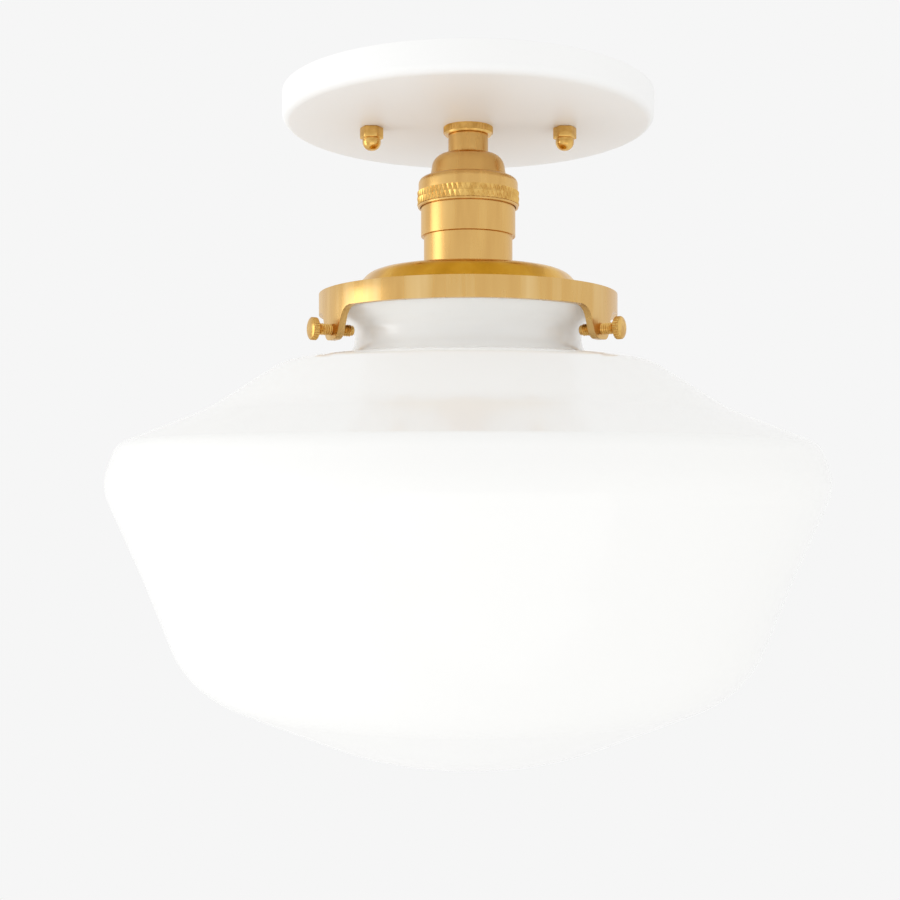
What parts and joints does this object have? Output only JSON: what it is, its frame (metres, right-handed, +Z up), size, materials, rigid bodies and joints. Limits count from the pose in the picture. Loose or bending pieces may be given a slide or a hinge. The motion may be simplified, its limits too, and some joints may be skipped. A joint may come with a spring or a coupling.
{
  "type": "semi flush ceiling light",
  "caption": "Semi flush ceiling light: white pan canopy, brass lampholder and shade fitter with thumbscrews, and an opal glass schoolhouse shade.",
  "frame": {"origin": "centre of the crossbar's outlet box slots, in the ceiling plane", "axes": "+Z up into the ceiling; +X through the two canopy cap nuts; -Y towards a person looking at the light"},
  "size_m": [0.2542, 0.2542, 0.2394],
  "materials": {
    "white_paint": "gloss white powder coat",
    "brushed_brass": "turned and brushed raw brass",
    "fitter_brass": "brushed band, polished dome",
    "zinc_steel": "zinc plated",
    "green_steel": "green dyed zinc plate",
    "nickel_steel": "nickel plated",
    "fibre": "vulcanised fibre",
    "porcelain": "white glaze",
    "opal_glass": "glossy opal white",
    "frosted_glass": "soft white frost",
    "black_glass": "black vitrite"
  },
  "bodies": {
    "ceiling_strap": {"crossbar": "zinc_steel", "canopy_studs": "zinc_steel", "stud_lock_nuts": "zinc_steel", "ground_screw": "green_steel"},
    "fixture": {"canopy": "white_paint", "nipple": "zinc_steel", "nipple_lock_nut": "zinc_steel", "nipple_lock_washer": "zinc_steel", "check_ring": "brushed_brass", "lampholder_cap": "brushed_brass", "cap_set_screw": "brushed_brass", "lampholder_shell": "brushed_brass", "shell_liner": "fibre", "lampholder_insulator": "porcelain", "terminal_screw_live": "brushed_brass", "terminal_screw_neutral": "nickel_steel", "centre_contact": "brushed_brass", "screw_shell": "nickel_steel", "shade_fitter": "fitter_brass", "shade_ring": "brushed_brass"},
    "cap_nut_left": {"cap_nut_left": "brushed_brass"},
    "cap_nut_right": {"cap_nut_right": "brushed_brass"},
    "thumbscrew_left": {"thumbscrew_left": "brushed_brass"},
    "thumbscrew_right": {"thumbscrew_right": "brushed_brass"},
    "thumbscrew_back": {"thumbscrew_back": "brushed_brass"},
    "shade": {"glass_shade": "opal_glass"},
    "bulb": {"bulb_contact": "nickel_steel", "bulb_insulator": "black_glass", "bulb_base": "nickel_steel", "bulb_envelope": "frosted_glass"}
  },
  "joints": [
    {"name": "canopy_lower", "type": "slide", "parent": "ceiling_strap", "child": "fixture", "axis": [0, 0, -1], "range_m": [0, 0.005]},
    {"name": "cap_nut_left_turn", "type": "hinge", "parent": "fixture", "child": "cap_nut_left", "pos_m": [-0.03492, 0, -0.016], "axis": [0, 0, -1], "range_deg": [0, 2270]},
    {"name": "cap_nut_right_turn", "type": "hinge", "parent": "fixture", "child": "cap_nut_right", "pos_m": [0.03492, 0, -0.016], "axis": [0, 0, -1], "range_deg": [0, 2270]},
    {"name": "thumbscrew_left_slide", "type": "slide", "parent": "fixture", "child": "thumbscrew_left", "axis": [-0.8788, -0.4772, 0], "range_m": [-0.0034, 0.0075]},
    {"name": "thumbscrew_right_slide", "type": "slide", "parent": "fixture", "child": "thumbscrew_right", "axis": [0.8526, -0.5225, 0], "range_m": [-0.0034, 0.0075]},
    {"name": "thumbscrew_back_slide", "type": "slide", "parent": "fixture", "child": "thumbscrew_back", "axis": [0.0262, 0.9997, 0], "range_m": [-0.0034, 0.0075]},
    {"name": "shade_turn", "type": "hinge", "parent": "fixture", "child": "shade", "pos_m": [0, 0, -0.1], "axis": [0, 0, 1], "continuous": true},
    {"name": "bulb_draw", "type": "slide", "parent": "fixture", "child": "bulb", "axis": [0, 0, -1], "range_m": [0, 0.022]}
  ],
  "couplings": [
    {"joint": "cap_nut_left_turn", "follows": "canopy_lower", "rad_per_m": 7913.3},
    {"joint": "cap_nut_right_turn", "follows": "canopy_lower", "rad_per_m": 7913.3}
  ]
}
